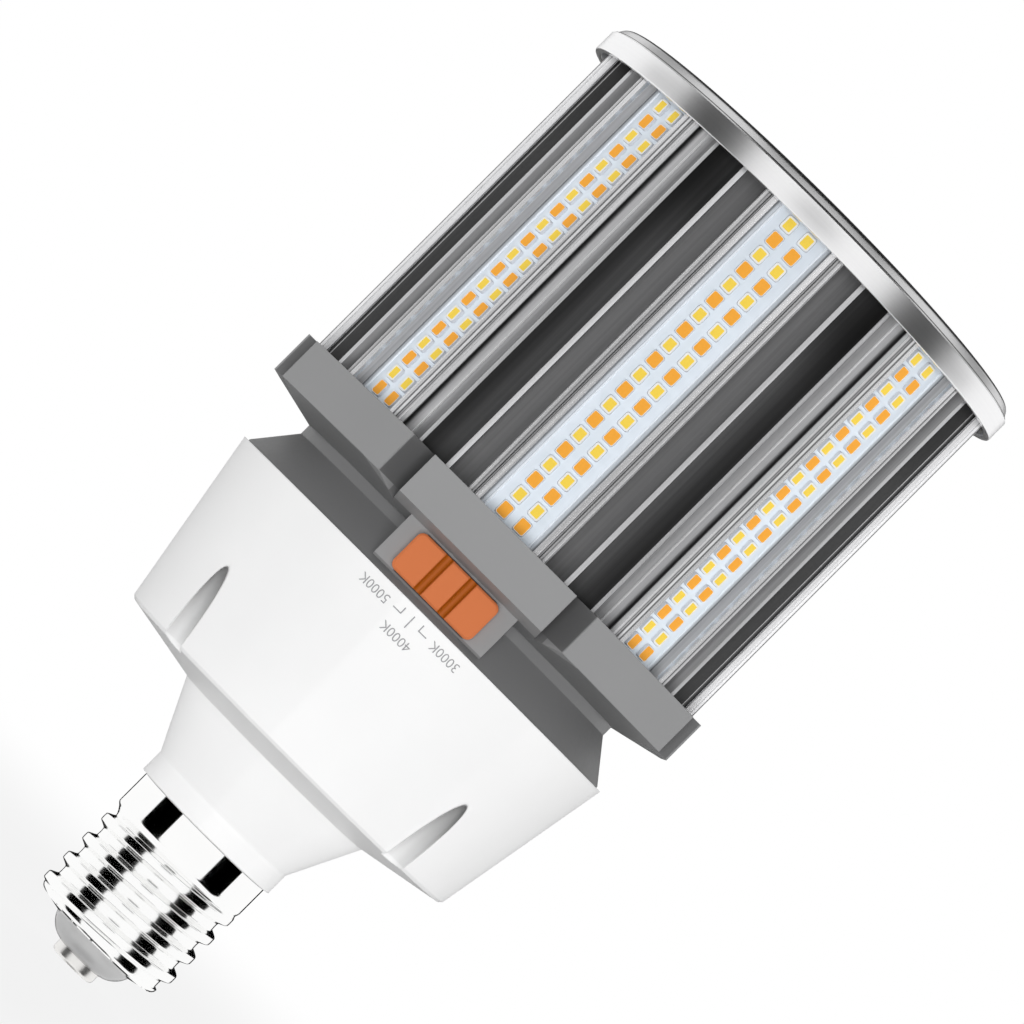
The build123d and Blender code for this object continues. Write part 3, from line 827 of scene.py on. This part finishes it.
sheet = 0.6 * mm
shell_bore = crest - thread_depth - sheet
lip_radius = dish_radius + 0.1 * mm
rim_round = 0.25 * mm
shoulder_step = 15
shoulder_stations = []
for degrees in range(0, 90, shoulder_step):
    turn = radians(degrees)
    after = turn + radians(shoulder_step)
    shoulder_stations.append((shoulder * (cos(after) - cos(turn)), trim_low - shoulder * sin(after)))
pull_rim(bm, trim_high, [
    (crest, trim_high + rim_round),
    (crest, shell_high.z - 2 * rim_round),
    (crest, shell_high.z - rim_round),
    (crest - rim_round, shell_high.z),
    (shell_bore, shell_high.z),
    (shell_bore, shell_low.z + flange_rise),
])
pull_rim(bm, trim_low, [
    *shoulder_stations,
    (lip_radius + rim_round, shell_low.z),
    (lip_radius, shell_low.z + rim_round),
    (lip_radius, shell_low.z + flange_rise),
    (shell_bore, shell_low.z + flange_rise),
])
bmesh.ops.remove_doubles(bm, verts=bm.verts[:], dist=weld)
bmesh.ops.recalc_face_normals(bm, faces=bm.faces[:])
shell = make_piece(bm, "rolled_shell", "lamp", [plated_shell], ["screw_shell"])
print(f"rolled shell: {len(shell.data.polygons)} faces, crest {2 * crest / mm:.1f} mm")

# %% [markdown]
# ## LED packages
# Each package is a white moulded frame around a window of phosphor. There are 320 of them, so one shape
# has to do with a few dozen faces: a cube with bevelled corners, an inset rim and a sunken window. The
# warm packages have a wide window, the cool ones a smaller one. Copies go where the CAD rows are.

# %% One package
draft = 0.3 * mm
corner_cut = 0.55 * mm
window_edge = 0.05 * mm
window_depth = 0.12 * mm


def package_mesh(name, width, length, height, rim):
    """A white frame with a sunken window, standing on the board's plane at the origin."""
    bm = bmesh.new()
    size = Matrix.Diagonal((width, length, height, 1))
    bmesh.ops.create_cube(bm, size=1, matrix=Matrix.Translation((0, 0, height / 2)) @ size)
    for vert in bm.verts:
        if vert.co.z > height / 2:
            vert.co.x *= 1 - draft / width
            vert.co.y *= 1 - draft / length
    upright = [edge for edge in bm.edges if abs(edge.verts[0].co.z - edge.verts[1].co.z) > height / 2]
    bmesh.ops.bevel(
        bm, geom=upright, offset=corner_cut, offset_type="OFFSET", segments=2, profile=0.5,
        affect="EDGES", material=-1,
    )
    window = [max(bm.faces, key=lambda face: face.calc_center_median().z)]
    bmesh.ops.inset_region(bm, faces=window, thickness=rim, use_even_offset=True)
    bmesh.ops.inset_region(
        bm, faces=window, thickness=window_edge, depth=-window_depth, use_even_offset=True,
    )
    window[0].material_index = 1
    # Lower sides take the third material, painted shade on the white moulding.
    for face in bm.faces:
        if abs(face.normal.z) < 0.7 and face.calc_center_median().z < 0.6 * height:
            face.material_index = 2
    return to_mesh(bm, name)


led_width = 3.4 * mm
led_length = 4.0 * mm
led_low, led_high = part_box("warm_leds_1")
led_height = led_high.y - led_low.y
row_side = led_high.x - led_width / 2
print(f"packages {led_width / mm:.1f} x {led_length / mm:.1f} x {led_height / mm:.1f} mm")


# %% Rows of packages on every panel
def panel_turn(number):
    """The turn from the front panel to another one."""
    return Matrix.Rotation(panel_step * (number - 1), 4, "Z")


def add_copy(bm, mesh, place):
    """Add a copy of a mesh to a bmesh, at a place."""
    before = len(bm.verts)
    bm.from_mesh(mesh)
    bm.verts.ensure_lookup_table()
    bmesh.ops.transform(bm, matrix=place, verts=bm.verts[before:])


facing = Matrix.Rotation(pi / 2, 4, "X")
faces_per_box = 24
warm_rim = 0.13 * mm
cool_rim = 0.42 * mm
led_total = 0
for kind, rim, finish in (("warm", warm_rim, warm_phosphor), ("cool", cool_rim, cool_phosphor)):
    package = package_mesh(f"{kind}_package", led_width, led_length, led_height, rim)
    low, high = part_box(f"{kind}_leds_1")
    count = len(nodes[f"{kind}_leds_1"].data.polygons) // faces_per_box
    first, last = low.z + led_length / 2, high.z - led_length / 2
    for number in range(1, panel_count + 1):
        bm = bmesh.new()
        for index in range(count):
            height = first + (last - first) * index / (count - 1)
            for side in (-row_side, row_side):
                spot = Matrix.Translation((side, high.y, height)) @ facing
                add_copy(bm, package, panel_turn(number) @ spot)
        make_piece(
            bm, f"{kind}_packages_{number}", "lamp",
            [package_white, finish, package_side_shade], [f"{kind}_leds_{number}"],
        )
        led_total += 2 * count
    print(f"{kind} package: {len(package.polygons)} faces")
print(f"{led_total} packages on {panel_count} boards")

# %% [markdown]
# ## Sealing beads
# A thin bead of white silicone runs along both long edges of every board. A slim rod, half sunk in the
# board's face, is all it takes, and its round side catches the light where a painted line would not.

# %% Two beads on every board
bead_radius = 0.32 * mm
bead_low, bead_high = collar_high.z, cap_low.z + 0.5 * mm
bm = bmesh.new()
for number in range(1, panel_count + 1):
    for side in (-bead_side, bead_side):
        spot = Matrix.Translation((side, -board_out, (bead_low + bead_high) / 2))
        bmesh.ops.create_cone(
            bm, cap_ends=True, segments=12, radius1=bead_radius, radius2=bead_radius,
            depth=bead_high - bead_low, matrix=panel_turn(number) @ spot,
        )
beads = make_piece(bm, "board_beads", "lamp", [bead_silicone])
print(f"beads: {len(beads.data.polygons)} faces")

# %% [markdown]
# ## Cap and screws
# The cap is a spun dish: an upright rim, a small bevel, a sloped ring and a flat top. Its four screws
# sit flush, each with a cross recess. Holes and recesses are cut with a Boolean modifier, which is read
# back as a plain mesh, so that nothing live is left on the piece.

# %% Carving helper
def carve(bm, cutter):
    """Cut one closed bmesh out of another and return the result."""
    objects = [add_object("carving", to_mesh(shape, "carving")) for shape in (bm, cutter)]
    modifier = objects[0].modifiers.new("cut", "BOOLEAN")
    modifier.object = objects[1]
    modifier.operation = "DIFFERENCE"
    modifier.solver = "EXACT"
    depsgraph = bpy.context.evaluated_depsgraph_get()
    carved = bmesh.new()
    carved.from_mesh(bpy.data.meshes.new_from_object(objects[0].evaluated_get(depsgraph)))
    for item in objects:
        bpy.data.objects.remove(item)
    return carved


def four_places(circle):
    """Four places on a circle, half a step away from the switch."""
    for step in range(4):
        angle = radians(45 + 90 * step)
        yield Matrix.Translation((circle * cos(angle), circle * sin(angle), 0))


print("cuts are exact Booleans, read back as plain meshes")

# %% Spin the cap and cut its screw holes
cap_wall = 1.8 * mm
screws_low, screws_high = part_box("cap_screws")
head_radius = 2.8 * mm
shank_radius = 1.5 * mm
port_circle = (screws_high.x - head_radius) * sqrt(2)
countersink = head_radius - shank_radius
hole_fit = 0.1 * mm
edge_bevel = 0.5 * mm
rim_edge_round = 0.3 * mm
ring_edge_round = 0.8 * mm
cap_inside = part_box("heat_sink")[1].z

bm = bmesh.new()
wire = draw_wire(bm, [
    (0, cap_high.z),
    (slope_in, cap_high.z),
    (ring_in, ring_top),
    (ring_out, ring_foot),
    (cap_radius - edge_bevel, ring_foot),
    (cap_radius, ring_foot - edge_bevel),
    (cap_radius, cap_low.z),
    (cap_radius - cap_wall, cap_low.z),
    (cap_radius - cap_wall, cap_inside),
    (0, cap_inside),
])
round_corners(bm, [wire[6], wire[7]], rim_edge_round, segments=3)
round_corners(bm, [wire[1], wire[2]], ring_edge_round, segments=6)
spin_wire(bm)
cutter = bmesh.new()
for place in four_places(port_circle):
    top = place @ Matrix.Translation((0, 0, cap_high.z))
    bmesh.ops.create_cone(
        cutter, cap_ends=True, segments=32, radius1=shank_radius, radius2=head_radius + 2 * hole_fit,
        depth=countersink + 2 * hole_fit,
        matrix=top @ Matrix.Translation((0, 0, -countersink / 2)),
    )
cap = make_piece(carve(bm, cutter), "cap_dish", "lamp", [cap_polished], ["top_cap"])
print(f"cap: {2 * cap_radius / mm:.1f} mm across, {len(cap.data.polygons)} faces")


# %% A screw with a cross recess
cross_length = 3.2 * mm
cross_width = 0.65 * mm


def screw_bmesh(profile, recess_at, recess_depth):
    """Spin a screw from its profile and cut a cross into its head."""
    bm = bmesh.new()
    draw_wire(bm, profile)
    spin_wire(bm, steps=32)
    cross = bmesh.new()
    for turn in (0, pi / 2):
        bar = Matrix.Diagonal((cross_length, cross_width, 2 * recess_depth, 1))
        spot = Matrix.Translation((0, 0, recess_at)) @ Matrix.Rotation(turn, 4, "Z")
        bmesh.ops.create_cube(cross, size=1, matrix=spot @ bar)
        bm = carve(bm, cross)
        cross = bmesh.new()
    cross.free()
    return bm


def set_of_four(one, circle, name, replaced):
    """Four copies of a screw on a circle, as one piece."""
    mesh = to_mesh(one, "screw")
    bm = bmesh.new()
    for place in four_places(circle):
        add_copy(bm, mesh, place)
    return make_piece(bm, name, "lamp", [screw_steel], [replaced])


print(f"cross recess: {cross_length / mm:.1f} x {cross_width / mm:.2f} mm")

# %% Flush screws in the cap and pan screws in the housing
flush = cap_high.z
flush_recess = 0.9 * mm
set_of_four(
    screw_bmesh([
        (0, flush),
        (head_radius, flush),
        (shank_radius, flush - countersink),
        (shank_radius, screws_low.z),
        (0, screws_low.z),
    ], flush, flush_recess),
    port_circle, "cap_flush_screws", "cap_screws",
)
channel_low, channel_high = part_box("housing_screws")
head_height = 2.2 * mm
head_crown = 0.9 * mm
crown_radius = head_radius * 0.7
pan_recess = 1.1 * mm
channel_circle = (channel_high.x - head_radius) * sqrt(2)
set_of_four(
    screw_bmesh([
        (0, channel_low.z),
        (crown_radius, channel_low.z),
        (head_radius, channel_low.z + head_crown),
        (head_radius, channel_low.z + head_height),
        (shank_radius, channel_low.z + head_height),
        (shank_radius, channel_high.z),
        (0, channel_high.z),
    ], channel_low.z, pan_recess),
    channel_circle, "housing_pan_screws", "housing_screws",
)
print("screws with recesses: 8")

# %% [markdown]
# ## The selector's scale
# Three colour temperatures are printed under the slide switch, with a tick for each position. They read
# with the base up, as the lamp hangs. Text becomes a mesh first and is then bent round the housing's
# cone by moving each point from flat x and y to an angle and a height, a hair above the wall.

# %% Helpers for flat print
print_rise = 0.03 * mm
letter_size = 3.35 * mm
letter_thinning = 0.02 * mm
stroke = 0.28 * mm


def on_wall(bm):
    """Bend flat print round the front of the housing: its x runs round the wall, its y is the height."""
    for vert in bm.verts:
        height = vert.co.y
        radius = wall_radius(height) + print_rise
        angle = vert.co.x / radius
        vert.co = (radius * sin(angle), -radius * cos(angle), height)


def add_text(bm, words, x, height):
    """Add words to a flat print, upside down and centred on a place."""
    curve = bpy.data.curves.new("words", "FONT")
    curve.body = words
    curve.size = letter_size
    curve.align_x = "CENTER"
    curve.align_y = "CENTER"
    curve.resolution_u = 3
    curve.offset = -letter_thinning
    writing = add_object("words", curve)
    depsgraph = bpy.context.evaluated_depsgraph_get()
    mesh = bpy.data.meshes.new_from_object(writing.evaluated_get(depsgraph))
    mesh.transform(Matrix.Translation((x, height, 0)) @ Matrix.Rotation(pi, 4, "Z"))
    bpy.data.objects.remove(writing)
    bm.from_mesh(mesh)


def add_bar(bm, x0, x1, low, high):
    """Add a filled bar to a flat print."""
    size = Matrix.Diagonal((x1 - x0, high - low, 1, 1))
    middle = Matrix.Translation(((x0 + x1) / 2, (low + high) / 2, 0))
    bmesh.ops.create_grid(bm, x_segments=2, y_segments=2, size=0.5, matrix=middle @ size)


print(f"print: letters {letter_size / mm:.2f} mm, strokes {stroke / mm:.2f} mm")

# %% Print the scale on the cone
upper_row = 113.8 * mm
lower_row = 109.3 * mm
word_side = 11.3 * mm
tick_top = 115.5 * mm
tick_foot = 112.0 * mm
tick_step = 2.9 * mm
tick_reach = 2.4 * mm
corner_level = 113.9 * mm

bm = bmesh.new()
add_text(bm, "5000K", -word_side, upper_row)
add_text(bm, "3000K", word_side, upper_row)
add_text(bm, "4000K", 0, lower_row)
add_bar(bm, -stroke / 2, stroke / 2, tick_foot, tick_top)
for sign in (-1, 1):
    inner = sign * tick_step - stroke / 2
    add_bar(bm, inner, inner + stroke, corner_level, tick_top)
    far = sign * (tick_step + tick_reach)
    add_bar(bm, min(far, inner), max(far, inner + stroke), corner_level - stroke, corner_level)
on_wall(bm)
marks = make_piece(bm, "selector_scale", "lamp", [mark_grey])
print(f"scale: {len(marks.data.polygons)} faces")

# %% [markdown]
# ## Light tent
# A plated shell shows whatever stands around it, so the room matters as much as the finish. The tent is
# white for the camera and for reflections, while the soft light on matt surfaces is set apart. Black
# cards to the left and right put the dark bars on the plating. Grey ones in front, at both sides and above
# tone the polished lips and the cap. The cards are seen by reflections alone, so no view runs into them.

# %% Floor
floor_radius = 6.0
floor_grey = 0.45
shadow_share = 0.14
shadow_reach = 0.4
shadow_fade = 0.5

bm = bmesh.new()
bmesh.ops.create_circle(bm, cap_ends=True, segments=96, radius=floor_radius)
floor = add_object("floor", to_mesh(bm, "floor"))
floor.visible_glossy = False
floor.visible_shadow = False

pale = Finish("pale_floor")
seen = pale.node("ShaderNodeLightPath", output="Is Camera Ray")
mirrored = seen.also("Is Glossy Ray") + seen.also("Is Transmission Ray")
matt = pale.node("ShaderNodeBsdfDiffuse", None, {"Color": (floor_grey, floor_grey, floor_grey)})
white = pale.node("ShaderNodeEmission", None, {"Color": (1, 1, 1), "Strength": 1.0})
apart = pale.node("ShaderNodeVectorMath", {"operation": "LENGTH"}, {0: pale.place}, output="Value")
whiteness = seen * (1 - shadow_share * (1 - apart.above(shadow_reach, shadow_fade))) + mirrored
blend = pale.node("ShaderNodeMixShader", None, {0: whiteness, 1: matt, 2: white})
floor.data.materials.append(pale.close(blend))
print(f"floor: {floor_radius:.0f} m, shadows kept at {shadow_share:.0%}")


# %% Cards that only reflections see
card_distance = 1.0


def card(name, azimuth, width, height, level, elevation=0.0, tone=0.0):
    """A flat card that faces the lamp. Azimuth 0 is the camera's side, and 90 is at the lamp's right."""
    bm = bmesh.new()
    bmesh.ops.create_grid(bm, x_segments=1, y_segments=1, size=0.5)
    turn = Matrix.Rotation(radians(azimuth), 4, "Z")
    lift = Matrix.Rotation(radians(-elevation), 4, "X")
    stand = Matrix.Translation((0, -card_distance, 0)) @ Matrix.Rotation(pi / 2, 4, "X")
    size = Matrix.Diagonal((width, height, 1, 1))
    centre = Matrix.Translation((0, 0, level))
    bmesh.ops.transform(bm, matrix=centre @ turn @ lift @ stand @ size, verts=bm.verts[:])
    paint = Finish(name)
    glow = paint.node("ShaderNodeEmission", None, {"Color": (tone, tone, tone), "Strength": 1.0})
    sheet = add_object(name, to_mesh(bm, name))
    sheet.data.materials.append(paint.close(glow))
    sheet.visible_camera = False
    sheet.visible_diffuse = False
    sheet.visible_shadow = False


cards = {
    "left_card": dict(azimuth=-57, width=0.70, height=1.5, level=0.03),
    "right_card": dict(azimuth=64, width=0.73, height=1.5, level=0.03),
    "front_card": dict(azimuth=0, width=0.36, height=0.20, level=0.21, tone=0.25),
    "far_card": dict(azimuth=180, width=0.72, height=1.5, level=0.38),
    "zenith_card": dict(azimuth=0, width=0.7, height=0.6, level=0.03, elevation=90),
    "nadir_card": dict(azimuth=0, width=0.6, height=0.6, level=0.03, elevation=-90),
    "ceiling_card": dict(azimuth=180, width=2.2, height=0.6, level=0.25, elevation=52, tone=0.36),
    "left_wall_card": dict(azimuth=-92.5, width=0.42, height=0.198, level=0.219, tone=0.5),
    "right_wall_card": dict(azimuth=91, width=0.42, height=0.198, level=0.219, tone=0.5),
}
for name, measures in cards.items():
    card(name, **measures)
print(f"cards: {len(cards)}")

# %% World and lamps
ambient = 0.28
tent = Finish("tent", bpy.data.worlds)
diffuse = tent.node("ShaderNodeLightPath", output="Is Diffuse Ray")
strength = 1 - (1 - ambient) * diffuse
glow = tent.node("ShaderNodeBackground", None, {"Color": (1, 1, 1), "Strength": strength})
scene.world = tent.close(glow, "ShaderNodeOutputWorld")


def softbox(name, azimuth, elevation, distance, size, power):
    """A square lamp that looks at the lamp's middle. Reflections see the tent instead of it."""
    light = bpy.data.lights.new(name, "AREA")
    light.shape = "SQUARE"
    light.size = size
    light.energy = power
    lamp = add_object(name, light)
    a, e = radians(azimuth), radians(elevation)
    away = Vector((sin(a) * cos(e), -cos(a) * cos(e), sin(e)))
    lamp.location = Vector((0, 0, lamp_top / 2)) + away * distance
    lamp.rotation_euler = away.to_track_quat("Z", "Y").to_euler()
    lamp.visible_glossy = False


softboxes = {
    "front_softbox": dict(azimuth=5, elevation=-9, distance=2.4, size=1.4, power=40),
    "left_softbox": dict(azimuth=-72, elevation=-2, distance=2.2, size=1.2, power=16),
    "right_softbox": dict(azimuth=72, elevation=-2, distance=2.2, size=1.2, power=16),
    "back_softbox": dict(azimuth=180, elevation=15, distance=2.4, size=1.4, power=32),
}
for name, measures in softboxes.items():
    softbox(name, **measures)
print(f"tent: ambient {ambient}, {len(softboxes)} softboxes")

# %% [markdown]
# ## Camera
# The lamp stands upright in its frame, but the picture shows it leaning at 45 degrees. A rolled camera
# gives the same view without moving the lamp: its right-hand and upward axes are both turned by half a
# right angle about the line of sight. A long lens from a metre and a half keeps the sides parallel.

# %% Rolled camera
eye_distance = 1.561
eye_height = 0.1118
eye_azimuth = radians(0.75)
aim = Vector((-0.0021, 0, 0.1494))
eye = Vector((sin(eye_azimuth) * eye_distance, -cos(eye_azimuth) * eye_distance, eye_height))
back_axis = (eye - aim).normalized()
level_axis = Vector((0, 0, 1)).cross(back_axis).normalized()
upright_axis = back_axis.cross(level_axis)
roll = radians(45)
right_axis = level_axis * cos(roll) + upright_axis * sin(roll)
up_axis = upright_axis * cos(roll) - level_axis * sin(roll)
view = bpy.data.cameras.new("photo_view")
view.sensor_width = 36
view.lens = 232
camera = add_object("photo_view", view)
turned = Matrix((right_axis, up_axis, back_axis)).transposed().to_4x4()
camera.matrix_world = Matrix.Translation(eye) @ turned
scene.camera = camera
print(f"camera {eye_distance:.2f} m away, rolled {roll / radians(1):.0f} degrees")

# %% [markdown]
# ## Sizes
# Last, the CAD box is printed.

# %% Print the CAD box
print("CAD box ", [[round(value / mm, 2) for value in corner] for corner in cad_box])
